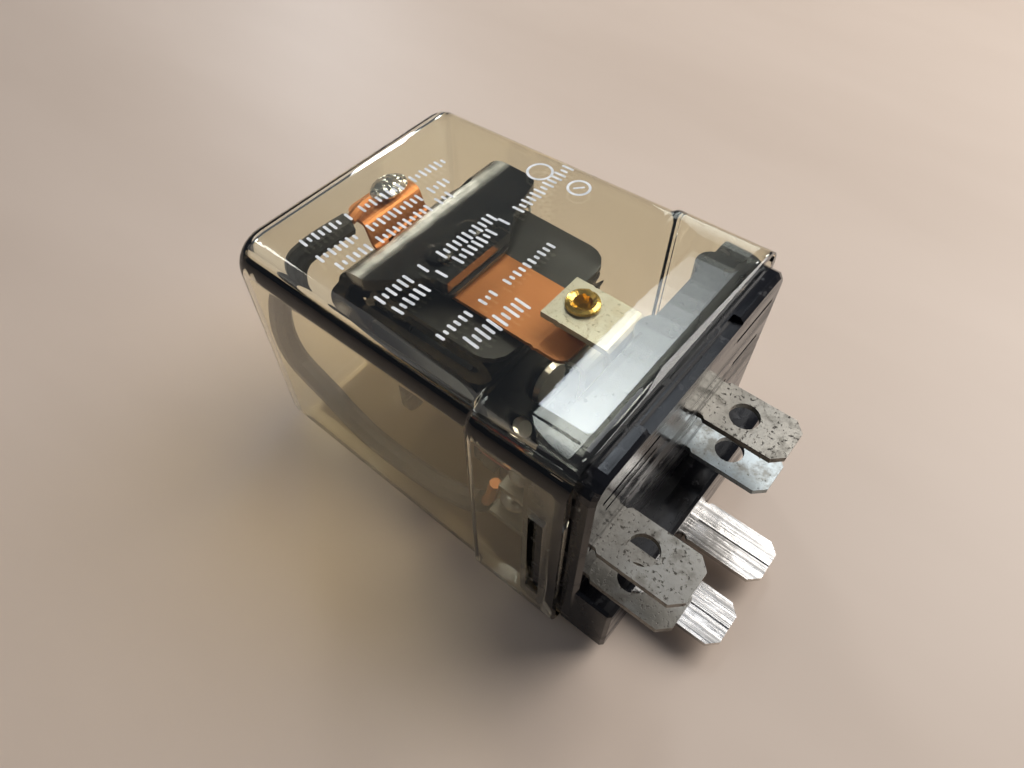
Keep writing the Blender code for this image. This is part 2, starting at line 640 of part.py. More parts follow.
def build_armature():
    """Clapper plate in front of the pole, bent over the frame's edge into a tapered leg."""
    plate_x = (ARMATURE_OUTER_X + ARMATURE_FACE_X) / 2
    leg_z = ARMATURE_TOP_Z - ARMATURE_THICKNESS / 2
    inner_bend = ARMATURE_BEND_RADIUS - ARMATURE_THICKNESS
    side_view = strip_outline([(plate_x, ARMATURE_FOOT_Z), (plate_x, leg_z), (-10.5, leg_z)],
                              ARMATURE_THICKNESS, inner_bend, steps=8)
    left = MAGNET_Y - ARMATURE_HALF_WIDTH
    right = MAGNET_Y + ARMATURE_HALF_WIDTH
    armature = plate("armature", side_view, left, right, "XZ", DARK_STEEL)
    leg_corners = [(-26, left, 0), (-18.6, left, 1.2), (-15.2, -7.4, 2.5), (-13.0, -5.4, 1.5), (-11.2, -5.4, 0.4),
                   (-11.2, 5.8, 0.4), (-12.8, 8.6, 1.5), (-14.8, right, 1.6), (-26, right, 0)]
    leg_view = plate("armature_leg_outline", rounded_outline(leg_corners), 0, 40, "XY")
    combine(armature, leg_view, "INTERSECT")
    low_y = (-7.4, 12.2)
    face_corners = [(low_y[0], 0, 0), (low_y[1], 0, 0), (low_y[1], 22.5, 1.5), (right, 25.5, 1), (right, 34, 0),
                    (left, 34, 0), (left, 25.5, 1), (low_y[0], 22.5, 1.5)]
    face_view = plate("armature_face_outline", rounded_outline(face_corners), -30, 0, "YZ")
    combine(armature, face_view, "INTERSECT")
    window_y = (BLADE_Y - BLADE_WIDTH / 2 - 0.6, BLADE_Y + BLADE_WIDTH / 2 + 0.6)
    window_z = (BLADE_BOTTOM_Z - 0.7, BLADE_TOP_Z + 0.7)
    combine(armature, box("blade_window", (-26, -20.6), window_y, window_z))
    bend_x = ARMATURE_OUTER_X + ARMATURE_BEND_RADIUS
    bend_z = ARMATURE_TOP_Z - ARMATURE_BEND_RADIUS
    reach = (ARMATURE_BEND_RADIUS + 1.3) / math.sqrt(2)
    for index, y in enumerate((-4.2, 9.8)):
        combine(armature, ball(f"gusset_{index}", (2.2, 2.2, 2.2), (bend_x - reach, y, bend_z + reach)))
    for index, y in enumerate(rivet_rows()):
        combine(armature, cylinder(f"leg_hole_{index}", 1.2, 26, 32, (RIVET_X, y), "Z", sides=16))
    return armature


def rivet_rows():
    return (BLADE_Y - 2.6, BLADE_Y + 2.6)


def build_blade():
    """Copper strip under the leg: contact end towards the base, tail bent up past the armature."""
    middle_z = BLADE_BOTTOM_Z + BLADE_THICKNESS / 2
    tail_z = TAIL_TOP_Z - BLADE_THICKNESS / 2
    side_view = strip_outline([(BLADE_TIP_X, middle_z), (-24.1, middle_z), (-25.2, tail_z), (-28.7, tail_z)],
                              BLADE_THICKNESS, 0.6)
    y = (BLADE_Y - BLADE_WIDTH / 2, BLADE_Y + BLADE_WIDTH / 2)
    blade = plate("movable_blade", side_view, *y, "XZ", COPPER)
    corners = rectangle((-28.71, BLADE_TIP_X + 0.01), (y[0] - 0.01, y[1] + 0.01), 1.5)
    combine(blade, plate("blade_outline", rounded_outline(corners), 20, 36, "XY"), "INTERSECT")
    combine(blade, cylinder("moving_contact_hole", 1.2, 25, 30, (CONTACT_X, CONTACT_Y), "Z", sides=16))
    insulator_y = (y[0] - 0.8, y[1] + 0.8)
    sheet_outline = rounded_outline(rectangle((-20.2, -10.8), insulator_y, 0.8))
    sheet_z = (BLADE_TOP_Z + 0.25, BLADE_TOP_Z + 0.75)
    insulator = plate("blade_insulator", sheet_outline, *sheet_z, "XY", BLACK_SHEET)
    for index, row in enumerate(rivet_rows()):
        combine(blade, cylinder(f"blade_hole_{index}", 1.2, 25, 30, (RIVET_X, row), "Z", sides=16))
        combine(insulator, cylinder(f"insulator_hole_{index}", 1.2, 25, 30, (RIVET_X, row), "Z", sides=16))
    return [blade, insulator]


def rivet_profile(bottom, top, neck, head, lower_height, upper_height):
    """(radius, height) points of a rivet with a head at each end, from top to bottom."""
    return [
        (0, top),
        (head * 0.7, top),
        (head, top - upper_height * 0.6),
        (head, top - upper_height),
        (neck, top - upper_height),
        (neck, bottom + lower_height),
        (head, bottom + lower_height),
        (head, bottom + lower_height * 0.6),
        (head * 0.7, bottom),
        (0, bottom),
    ]


def build_rivets():
    made = []
    for index, y in enumerate(rivet_rows()):
        profile = rivet_profile(BLADE_BOTTOM_Z - 0.5, ARMATURE_TOP_Z + 0.6, 0.9, 1.6, 0.2, 0.3)
        made.append(turned(f"blade_rivet_{index + 1}", profile, (RIVET_X, y, 0), "Z", BARE_STEEL, sides=16))
    return made


def build_contacts():
    """The double-faced moving contact, and the two fixed ones riveted to their strips."""
    centre = (CONTACT_X, CONTACT_Y, 0)
    moving_profile = rivet_profile(BLADE_BOTTOM_Z - 0.4, BLADE_TOP_Z + 0.7, 0.9, 1.9, 0.2, 0.5)
    moving = turned("moving_contact", moving_profile, centre, "Z", SILVER)
    strip_bottom = FRONT_STRIP_TOP_Z - TAB_THICKNESS
    eyelet_profile = [
        (1.1, strip_bottom - 0.1),
        (0, strip_bottom - 0.1),
        (0, strip_bottom - 0.7),
        (1.6, strip_bottom - 0.7),
        (1.9, strip_bottom - 0.5),
        (1.9, strip_bottom - 0.25),
        (1.45, strip_bottom - 0.25),
        (1.45, FRONT_STRIP_TOP_Z + 0.25),
        (2.0, FRONT_STRIP_TOP_Z + 0.25),
        (1.9, FRONT_STRIP_TOP_Z + 0.55),
        (1.5, FRONT_STRIP_TOP_Z + 0.7),
        (1.1, FRONT_STRIP_TOP_Z + 0.45),
    ]
    turned("no_fixed_contact", eyelet_profile[::-1], centre, "Z", BRASS)
    button_profile = rivet_profile(BACK_STRIP_TOP_Z - 1.4, BACK_STRIP_TOP_Z + 0.6, 0.9, 1.9, 0.35, 0.35)
    turned("nc_fixed_contact", button_profile, centre, "Z", SILVER)
    return moving


def build_return_spring():
    """Tension spring between the frame's side lug and the armature's leg."""
    low = 14.3
    high = ARMATURE_TOP_Z - ARMATURE_THICKNESS - GAP
    turns = 8
    wire = 0.22
    coil_radius = 0.85
    steps = turns * 10
    body = (low + 0.9, high - 0.9)
    helix = []
    for step in range(steps + 1):
        angle = 2 * math.pi * turns * step / steps
        z = body[0] + (body[1] - body[0]) * step / steps
        helix.append((SPRING_X + coil_radius * math.cos(angle), SPRING_Y + coil_radius * math.sin(angle), z))
    bottom = [(SPRING_X, SPRING_Y, low + wire), (SPRING_X + 0.5, SPRING_Y, low + 0.55)]
    top = [(SPRING_X + 0.5, SPRING_Y, high - 0.55), (SPRING_X, SPRING_Y, high - wire)]
    return tube("return_spring", bottom + helix + top, wire, BARE_STEEL, resolution=1)


# ------------------------------------------------------------ pigtail, solder


def build_pigtail():
    """Sleeved flexible lead that joins the blade's tail to the common terminal."""
    sleeve_points = [
        (-25.9, -5.9, 31.2), (-26.3, -8.3, 31.0), (-27.0, -10.8, 30.4), (-27.9, -13.2, 29.0), (-28.6, -14.8, 26.6),
        (-29.4, -15.5, 22.6), (-29.8, -15.7, 18.2), (-28.8, -15.7, 14.6), (-26.2, -15.7, 12.9), (-23.0, -15.7, 11.4),
        (-20.0, -15.7, 9.6), (-16.6, -15.7, 8.3), (-12.5, -15.7, 7.9), (-7.5, -15.7, 8.3), (-2.6, -15.6, 9.2),
        (1.0, -15.4, 10.6), (2.8, -15.2, 12.2),
    ]
    tube("pigtail_sleeve", smooth_route(sleeve_points, 3), 1.35, SLEEVE, resolution=2)
    common_points = [(3.1, -15.15, 12.6), (3.6, -15.0, 14.0), (3.8, -14.8, 15.6), (4.0, -14.6, 16.8)]
    tube("pigtail_braid_common", smooth_route(common_points, 3), 0.7, COPPER)
    tail_points = [(-26.0, -5.5, 31.4), (-26.2, -4.4, 31.6), (-26.5, -2.9, 31.65), (-26.5, -1.8, 31.6)]
    return tube("pigtail_braid_tail", smooth_route(tail_points, 3), 0.65, COPPER)


def build_solder():
    ball("common_solder", (1.9, 1.7, 1.0), (6.9, -14.5, 16.75), SOLDER)
    ball("tie_solder", (1.7, 1.6, 0.9), (8.1, -14.7, 23.65), SOLDER)
    return ball("tail_solder", (1.9, 2.7, 0.8), (-26.6, 1.4, 31.7), SOLDER)


def build_relay():
    build_cover()
    base_face_marks(build_base())
    build_contact_terminals()
    build_left_terminals()
    build_coil_terminals()
    build_frame()
    build_frame_insulator()
    build_core()
    build_coil()
    build_leads()
    moving = [build_armature(), build_contacts(), build_solder(), build_pigtail()]
    moving += build_blade()
    moving += build_rivets()
    build_return_spring()
    pivot = pivot_empty()
    bpy.context.view_layer.update()
    for piece in moving:
        place = piece.matrix_world.copy()
        piece.parent = pivot
        piece.matrix_world = place


build_relay()
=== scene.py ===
"""Looks of a plug-in power relay in a clear dust cover, lying on a pale bench."""

import math

import bpy
import numpy as np
from mathutils import Matrix, Vector


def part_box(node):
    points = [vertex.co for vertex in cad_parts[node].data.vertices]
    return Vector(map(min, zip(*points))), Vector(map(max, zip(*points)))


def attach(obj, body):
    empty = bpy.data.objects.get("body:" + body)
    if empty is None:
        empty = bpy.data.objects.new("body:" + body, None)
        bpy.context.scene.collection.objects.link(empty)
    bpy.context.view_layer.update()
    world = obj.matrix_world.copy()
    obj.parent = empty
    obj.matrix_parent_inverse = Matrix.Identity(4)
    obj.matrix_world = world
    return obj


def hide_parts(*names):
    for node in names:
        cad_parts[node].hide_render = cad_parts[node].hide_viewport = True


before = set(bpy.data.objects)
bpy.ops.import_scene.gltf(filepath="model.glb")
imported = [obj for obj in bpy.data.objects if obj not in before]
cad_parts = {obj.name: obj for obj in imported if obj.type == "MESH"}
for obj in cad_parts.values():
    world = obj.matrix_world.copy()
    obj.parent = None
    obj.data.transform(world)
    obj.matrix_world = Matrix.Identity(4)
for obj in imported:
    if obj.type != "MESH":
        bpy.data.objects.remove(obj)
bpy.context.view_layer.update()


# ------------------------------------------------------------------ the bench and its light
# The relay lies on a warm pale bench, and the camera looks down on it over its near long side, beside
# the terminals. A window, brightest at its near edge, shows in the cover over the base, and a small
# light shows along the armature's bend. The ceiling lights the bench from the far side.
mm = 0.001
camera_data = bpy.data.cameras.new("camera")
camera = bpy.data.objects.new("camera", camera_data)
bpy.context.scene.collection.objects.link(camera)
camera_right = Vector((0.77407, 0.63309, 0.0034))
camera_up = Vector((-0.50951, 0.61977, 0.59689))
camera_back = Vector((0.37578, -0.46377, 0.80231))
camera_turn = Matrix((camera_right, camera_up, camera_back)).transposed().to_4x4()
camera_turn.translation = Vector((30.69, -45.33, 89.56)) * mm
camera.matrix_world = camera_turn
camera_data.sensor_width = 36.0
camera_data.lens = 25.8
camera_data.clip_start = 0.005
bpy.context.scene.camera = camera


class Signal:
    """A shader socket that takes part in sums, so that shader maths reads as plain maths."""

    def __init__(self, paint, socket):
        self.paint = paint
        self.socket = socket

    def _with(self, operation, other, swapped=False):
        """One Math node of this signal and another value."""
        pair = (other, self) if swapped else (self, other)
        return self.paint.node("ShaderNodeMath", {"operation": operation}, {0: pair[0], 1: pair[1]})

    def __add__(self, other):
        return self._with("ADD", other)

    def __radd__(self, other):
        return self._with("ADD", other)

    def __sub__(self, other):
        return self._with("SUBTRACT", other)

    def __rsub__(self, other):
        return self._with("SUBTRACT", other, swapped=True)

    def __mul__(self, other):
        return self._with("MULTIPLY", other)

    def __rmul__(self, other):
        return self._with("MULTIPLY", other)


class Paint:
    """One material: a Principled shader, and every other node of it made by one method."""

    def __init__(self, name):
        self.material = bpy.data.materials.new(name)
        self.material.use_nodes = True
        self.tree = self.material.node_tree
        self.shader = self.tree.nodes["Principled BSDF"]

    def node(self, kind, settings=None, inputs=None, output=0):
        """A node of this kind. Its settings go in first, then the values or links of its sockets."""
        made = self.tree.nodes.new(kind)
        for key, value in (settings or {}).items():
            if key == "stops":
                while len(made.color_ramp.elements) < len(value):
                    made.color_ramp.elements.new(0.5)
                for stop, (place, colour) in zip(made.color_ramp.elements, value):
                    stop.position = place
                    red_green_blue = colour if isinstance(colour, tuple) else (colour,) * 3
                    stop.color = (*red_green_blue, 1.0)
            else:
                setattr(made, key, value)
        for key, value in (inputs or {}).items():
            self.feed(made.inputs[key], value)
        return Signal(self, made.outputs[output])

    def feed(self, socket, value):
        """Link a signal to a socket, or set the socket's own value."""
        if isinstance(value, Signal):
            self.tree.links.new(value.socket, socket)
        elif isinstance(value, tuple) and len(value) == 3 and socket.type == "RGBA":
            socket.default_value = (*value, 1.0)
        else:
            socket.default_value = value

    def set(self, **inputs):
        """Feed the Principled shader's own sockets, named with underscores for spaces."""
        for key, value in inputs.items():
            self.feed(self.shader.inputs[key.replace("_", " ")], value)

    def place(self):
        """Object coordinates, in metres."""
        return self.node("ShaderNodeTexCoord", output=3)

    def stretched(self, scale, turn=(0.0, 0.0, 0.0)):
        """Object coordinates, scaled along each axis and then turned."""
        inputs = {"Vector": self.place(), "Rotation": turn, "Scale": scale}
        return self.node("ShaderNodeMapping", inputs=inputs)

    def noise(self, scale, detail=3.0, roughness=0.5, where=None):
        """Cloudy noise, from 0 to 1, with this many features to the metre."""
        inputs = {"Vector": where or self.place(), "Scale": scale, "Detail": detail, "Roughness": roughness}
        return self.node("ShaderNodeTexNoise", inputs=inputs)

    def cells(self, scale, feature="F1", where=None):
        """Distance to the nearest of scattered points, or to the edge between two of their cells."""
        inputs = {"Vector": where or self.place(), "Scale": scale}
        return self.node("ShaderNodeTexVoronoi", {"feature": feature}, inputs)

    def bands(self, scale):
        """Even bands that follow one another along X."""
        inputs = {"Vector": self.place(), "Scale": scale}
        return self.node("ShaderNodeTexWave", {"bands_direction": "X"}, inputs)

    def ramp(self, value, stops):
        """The value looked up in a row of stops, each a place and a grey or a colour."""
        return self.node("ShaderNodeValToRGB", {"stops": stops}, {0: value})

    def mix(self, share, below, above):
        """From the first colour to the second, by share."""
        return self.node("ShaderNodeMix", {"data_type": "RGBA"}, {0: share, 6: below, 7: above}, output=2)

    def bump(self, height, distance, strength):
        """A normal tilted by a height map, of this depth in metres."""
        inputs = {"Height": height, "Distance": distance, "Strength": strength}
        return self.node("ShaderNodeBump", inputs=inputs)

    def axis(self, name):
        """One coordinate of the object's place, in metres."""
        return self.node("ShaderNodeSeparateXYZ", inputs={0: self.place()}, output="XYZ".index(name))


def bench(half_side):
    """A flat square top, with a faint drift of colour."""
    paint = Paint("bench_top")
    cloud = paint.noise(9.0, detail=4.0, where=paint.stretched((0.6, 2.2, 1.0), (0.0, 0.0, 0.55)))
    colour = paint.ramp(cloud, [(0.3, (0.56, 0.45, 0.365)), (0.7, (0.64, 0.525, 0.435))])
    paint.set(Base_Color=colour, Roughness=0.5)
    corners = np.array([(-1.0, -1.0, 0.0), (1.0, -1.0, 0.0), (1.0, 1.0, 0.0), (-1.0, 1.0, 0.0)]) * half_side
    data = bpy.data.meshes.new("bench")
    data.from_pydata(corners.tolist(), [], [(0, 1, 2, 3)])
    data.materials.append(paint.material)
    top = bpy.data.objects.new("bench", data)
    bpy.context.scene.collection.objects.link(top)


def soft_light(name, width, height, power, place, aim, colour):
    """A rectangular light that faces a point."""
    lamp = bpy.data.lights.new(name, "AREA")
    lamp.shape = "RECTANGLE"
    lamp.size = width
    lamp.size_y = height
    lamp.energy = power
    lamp.color = colour
    lit = bpy.data.objects.new(name, lamp)
    bpy.context.scene.collection.objects.link(lit)
    lit.location = place
    lit.rotation_euler = (Vector(aim) - Vector(place)).to_track_quat("-Z", "Y").to_euler()


bench(0.6)
world = bpy.data.worlds.new("room")
world.use_nodes = True
background = world.node_tree.nodes["Background"]
background.inputs["Color"].default_value = (0.72, 0.82, 1.0, 1.0)
background.inputs["Strength"].default_value = 0.12
bpy.context.scene.world = world
bpy.context.scene.view_settings.view_transform = "Standard"

# The window is a row of strips that grow dimmer away from the relay, each facing straight down.
daylight = (0.84, 0.92, 1.0)
window_near, window_far = 0.112, 0.340
window_width, window_height = 0.066, 0.30
window_strips = 12
strip_depth = (window_far - window_near) / window_strips
for index in range(window_strips):
    share = index / (window_strips - 1)
    radiance = 8.5 * (1.0 - share) ** 1.6 + 1.2
    strip_power = window_width * strip_depth * math.pi * radiance
    strip_x = -0.086 - 0.012 * share
    strip_y = window_near + (index + 0.5) * strip_depth
    strip_at = (strip_x, strip_y, window_height)
    strip_aim = (strip_x, strip_y, 0.0)
    soft_light(f"window_{index}", window_width, strip_depth, strip_power, strip_at, strip_aim, daylight)

relay_foot = (0.0, 0.0, 0.0)
armature_bend = (-0.02, 0.0, 0.03)
soft_light("tab_glow", 0.06, 0.12, 0.05, (-0.006, 0.205, 0.46), (-0.006, 0.205, 0.0), (0.94, 0.96, 1.0))
soft_light("ridge_glow", 0.06, 0.06, 0.30, (-0.350, 0.232, 0.205), armature_bend, (0.92, 0.95, 1.0))
soft_light("ceiling", 0.42, 0.42, 3.9, (0.24, 0.40, 0.42), relay_foot, (1.0, 0.96, 0.92))
soft_light("room_fill", 0.40, 0.40, 0.35, (-0.42, -0.30, 0.40), relay_foot, (1.0, 0.97, 0.94))


# ------------------------------------------------------------------ dust cover
# The cover is one polycarbonate moulding about a millimetre thick, slightly yellowed with age. It is
# drafted towards its closed end, has a wider skirt at its mouth, and clips over lugs on the base.
cover_low, cover_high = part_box("dust_cover")
cover_length = cover_high.x - cover_low.x
cover_wall = 1.1 * mm
cover_corner = 3.94 * mm
cover_inner_corner = 0.7 * mm
cover_end_round = 2.3 * mm
cover_inner_end_round = 1.25 * mm
corner_tightening = 0.3
least_corner = 0.2 * mm
rim_lip = 0.12 * mm
skirt_length = 12.0 * mm
skirt_step = 0.52 * mm
skirt_ramp = 0.35 * mm
side_draft = 0.57 * mm
front_fall = 1.92 * mm
snap_window_x = (11.8 * mm, 13.6 * mm)
snap_window_y = (17.2 * mm, 21.0 * mm)
snap_window_z = (7.6 * mm, 25.0 * mm)
crease_angle = math.radians(32)


def smooth_step(value, low, high):
    """0 below low and 1 above high, with 3t^2 - 2t^3 between them."""
    t = np.clip((value - low) / (high - low), 0.0, 1.0)
    return t * t * (3.0 - 2.0 * t)


def linked(name, data, material, body):
    """Put a finished mesh in the scene, riding on a body."""
    data.materials.append(material)
    piece = bpy.data.objects.new(name, data)
    bpy.context.scene.collection.objects.link(piece)
    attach(piece, body)
    return piece


def rounded_rectangle(half_width, low, high, radius):
    """Points (y, z) round rectangles, one to a row, with a quarter circle at each corner.

    Each corner's centre stands one radius in from both sides, and its points lie at the radius times the
    cosine and the sine of an angle that runs through that corner's quarter turn.
    """
    turns = np.linspace(0.0, math.pi / 2, 9)
    ys, zs = [], []
    for quarter, (side, top) in enumerate(((1, 1), (-1, 1), (-1, -1), (1, -1))):
        angle = turns + quarter * math.pi / 2
        ys.append(side * (half_width - radius)[..., None] + radius[..., None] * np.cos(angle))
        level = (high - radius) if top > 0 else (low + radius)
        zs.append(level[..., None] + radius[..., None] * np.sin(angle))
    return np.concatenate(ys, axis=-1), np.concatenate(zs, axis=-1)


def cover_skin(stations, inset, radius, end_round):
    """Skin of the cover, either side of its wall.

    At each station x the section is a rounded rectangle. Its half width is the skirt's, less a draft in
    proportion to the distance from the mouth and less a step behind the skirt; its top falls in
    proportion to the same distance. Near the closed end all of it draws in on a quarter circle.
    """
    from_mouth = cover_high.x - stations
    behind_skirt = smooth_step(from_mouth, skirt_length - skirt_ramp, skirt_length + skirt_ramp)
    half_width = cover_high.y - behind_skirt * (skirt_step + side_draft * from_mouth / cover_length)
    top = cover_high.z - front_fall * from_mouth / cover_length
    from_end = np.clip(stations - (cover_low.x + inset), 0.0, end_round)
    draw_in = end_round - np.sqrt(np.maximum(end_round**2 - (end_round - from_end) ** 2, 0.0))
    shrink = inset + draw_in
    corner = np.maximum(radius - draw_in * corner_tightening, least_corner)
    y, z = rounded_rectangle(half_width - shrink, cover_low.z + shrink, top - shrink, corner)
    x = np.broadcast_to(stations[:, None], y.shape)
    return np.stack([x, y, z], axis=-1)


def cover_stations(inset, end_round):
    """Places along x: close together on the rounded end and on the skirt's step, wider between."""
    quarter = np.linspace(0.0, math.pi / 2, 6)
    near_end = cover_low.x + inset + end_round * (1.0 - np.cos(quarter))
    skirt_x = cover_high.x - skirt_length
    along = np.linspace(near_end[-1] + 1.0 * mm, skirt_x - 0.5 * mm, 8)
    step = skirt_x + np.linspace(-1.0, 1.0, 7) * skirt_ramp
    mouth = np.linspace(step[-1] + 0.5 * mm, cover_high.x, 7)
    return np.concatenate([near_end, along, step, mouth])


def clear_cover_mesh():
    """The two skins of the wall as one grid, joined round the mouth and closed at the far end.

    The grid runs along the outer skin to the mouth, over a rim bevelled by the lip, and back along the
    inner skin. Neighbouring rows and columns of it make the faces, and one face closes each end.
    """
    outer = cover_skin(cover_stations(0.0, cover_end_round), 0.0, cover_corner, cover_end_round)
    inner_stations = cover_stations(cover_wall, cover_inner_end_round)
    inner = cover_skin(inner_stations, cover_wall, cover_inner_corner, cover_inner_end_round)
    centre = (outer[-1] + inner[-1]) / 2
    rim_outer = outer[-1] + (centre - outer[-1]) * (rim_lip / cover_wall)
    rim_inner = inner[-1] + (centre - inner[-1]) * (rim_lip / cover_wall)
    outer[-1, :, 0] -= rim_lip
    inner[-1, :, 0] -= rim_lip
    grid = np.concatenate([outer, rim_outer[None], rim_inner[None], inner[::-1]])
    rows, columns = grid.shape[:2]
    index = np.arange(rows * columns).reshape(rows, columns)
    ring = np.hstack([index, index[:, :1]])
    quads = np.stack([ring[:-1, :-1], ring[1:, :-1], ring[1:, 1:], ring[:-1, 1:]], axis=-1)
    ends = [index[0].tolist(), index[-1, ::-1].tolist()]
    data = bpy.data.meshes.new("dust_cover_clear")
    data.from_pydata(grid.reshape(-1, 3).tolist(), [], quads.reshape(-1, 4).tolist() + ends)
    data.update()
    return data


def clear_polycarbonate():
    """Clear glossy plastic with a yellow tint, long fine scratches and a haze of handling.

    The lights shine through it: a ray towards a lamp passes as through a clear film.
    """
    paint = Paint("yellowed_polycarbonate")
    scratches = []
    for angle, scale in ((0.5, 900.0), (-0.8, 1200.0), (1.9, 700.0)):
        where = paint.stretched((1.0, 0.03, 0.03), (0.0, 0.0, angle))
        line = paint.cells(scale, feature="DISTANCE_TO_EDGE", where=where)
        scratches.append(paint.ramp(line, [(0.0, 1.0), (0.006, 0.0)]))
    patches = paint.ramp(paint.noise(90.0), [(0.5, 0.0), (0.7, 1.0)])
    fine = (scratches[0] + scratches[1] + scratches[2]) * patches
    haze = paint.ramp(paint.noise(60.0, detail=5.0), [(0.45, 0.0), (0.8, 1.0)])
    paint.set(
        Base_Color=(0.965, 0.94, 0.82),
        Roughness=0.01 + 0.025 * haze + 0.10 * fine,
        IOR=1.54,
        Transmission_Weight=1.0,
        Normal=paint.bump(paint.noise(45.0, detail=1.0), 0.00002, 0.3),
    )
    lamp_ray = paint.node("ShaderNodeLightPath", output=1)
    passed = paint.node("ShaderNodeBsdfTransparent", inputs={"Color": (0.93, 0.90, 0.80)})
    plastic = Signal(paint, paint.shader.outputs[0])
    shown = paint.node("ShaderNodeMixShader", inputs={0: lamp_ray, 1: plastic, 2: passed})
    paint.feed(paint.tree.nodes["Material Output"].inputs["Surface"], shown)
    return paint.material


def cut_box(name, x, y, z):
    """A hidden box, between two limits on each axis, that a Boolean takes away."""
    corners = [(a, b, c) for a in x for b in y for c in z]
    faces = [(0, 1, 3, 2), (4, 6, 7, 5), (0, 4, 5, 1), (2, 3, 7, 6), (0, 2, 6, 4), (1, 5, 7, 3)]
    data = bpy.data.meshes.new(name)
    data.from_pydata(corners, [], faces)
    return bpy.data.objects.new(name, data)


def cut(target, cutter):
    """Take a cutter away from a piece, and drop the cutter."""
    bpy.context.scene.collection.objects.link(cutter)
    step = target.modifiers.new("cut", "BOOLEAN")
    step.operation = "DIFFERENCE"
    step.solver = "EXACT"
    step.object = cutter
    bpy.context.view_layer.update()
    graph = bpy.context.evaluated_depsgraph_get()
    made = bpy.data.meshes.new_from_object(target.evaluated_get(graph))
    target.modifiers.clear()
    target.data = made
    bpy.data.objects.remove(cutter)


cover = linked("clear_cover", clear_cover_mesh(), clear_polycarbonate(), "case")
for side in (-1, 1):
    side_y = sorted(side * y for y in snap_window_y)
    cut(cover, cut_box("snap_window", snap_window_x, side_y, snap_window_z))
cover.data.shade_smooth()
cover.data.set_sharp_from_angle(angle=crease_angle)
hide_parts("dust_cover")


# ------------------------------------------------------------------ printed marks
# The front of the cover is printed in white ink, a few hundredths of a millimetre thick. The print here
# is plain: rows of upright ticks in groups, and two rings, lying on the drafted face.
ink_thickness = 0.03 * mm
ink_lift = 0.015 * mm
ink_half_stroke = 0.17 * mm
ring_half_stroke = 0.16 * mm
tick_pitch = 0.8 * mm
tick_shares = (1.0, 0.6, 1.0, 0.8, 1.0)


def ink_height(x):
    """Height at x of the ink's underside, a little off the cover's front face."""
    return cover_high.z - front_fall * (cover_high.x - x) / cover_length + ink_lift


def ink_stroke(start, end, half_width):
    """A stroke with round ends, as the points of a closed sheet, and that it is no ring.

    The centre runs straight from start to end. The half width at a distance d from the nearer end is the
    circle's chord sqrt(h^2 - (h - d)^2) up to d = h. Four points go round each section. An end begins a
    little way up its arc, so that it closes with a small flat face.
    """
    blunt_start = 0.12
    start, end = np.array(start), np.array(end)
    length = np.linalg.norm(end - start)
    along = (end - start) / length
    across = np.array([-along[1], along[0]])
    arc = half_width * (1.0 - np.cos(np.linspace(blunt_start, math.pi / 2, 6)))
    place = np.concatenate([arc, length - arc[::-1]])
    nearer = np.minimum(np.minimum(place, length - place), half_width)
    reach = np.sqrt(half_width**2 - (half_width - nearer) ** 2)
    centre = start + place[:, None] * along
    sides = np.array([-1.0, 1.0, 1.0, -1.0])
    rises = np.array([0.0, 0.0, 1.0, 1.0]) * ink_thickness
    flat = centre[:, None, :] + sides[None, :, None] * reach[:, None, None] * across
    level = ink_height(flat[..., 0]) + rises[None, :]
    return np.dstack([flat, level]), False


def ink_ring(centre, radius, half_width):
    """The points of a rectangle, four of them, carried round a circle, and that it is a ring."""
    turn = np.linspace(0.0, 2 * math.pi, 40, endpoint=False)[:, None]
    radii = radius + np.array([1.0, -1.0, -1.0, 1.0]) * half_width
    flat = np.stack([centre[0] + radii * np.cos(turn), centre[1] + radii * np.sin(turn)], axis=-1)
    level = ink_height(flat[..., 0]) + np.array([0.0, 0.0, 1.0, 1.0]) * ink_thickness
    return np.dstack([flat, level]), True


def joined_strokes(name, strokes):
    """One mesh from many closed strokes: each grid's quads, and a cap on each open end."""
    points, faces, offset = [], [], 0
    for grid, is_ring in strokes:
        rows = len(grid)
        index = offset + np.arange(rows * 4).reshape(rows, 4)
        looped = np.hstack([index, index[:, :1]])
        if is_ring:
            looped = np.vstack([looped, looped[:1]])
        quads = np.stack([looped[:-1, :-1], looped[:-1, 1:], looped[1:, 1:], looped[1:, :-1]], axis=-1)
        faces += quads.reshape(-1, 4).tolist()
        if not is_ring:
            faces += [index[0][::-1].tolist(), index[-1].tolist()]
        points += grid.reshape(-1, 3).tolist()
        offset += rows * 4
    data = bpy.data.meshes.new(name)
    data.from_pydata(points, [], faces)
    data.update()
    return data


def white_ink():
    """Matt white print, a little worn."""
    paint = Paint("white_ink")
    wear = paint.noise(900.0, detail=4.0)
    paint.set(
        Base_Color=paint.ramp(wear, [(0.35, (0.62, 0.64, 0.66)), (0.6, (0.86, 0.87, 0.88))]),
        Roughness=0.55 + 0.2 * wear,
        Normal=paint.bump(wear, 0.00001, 0.4),
    )
    return paint.material


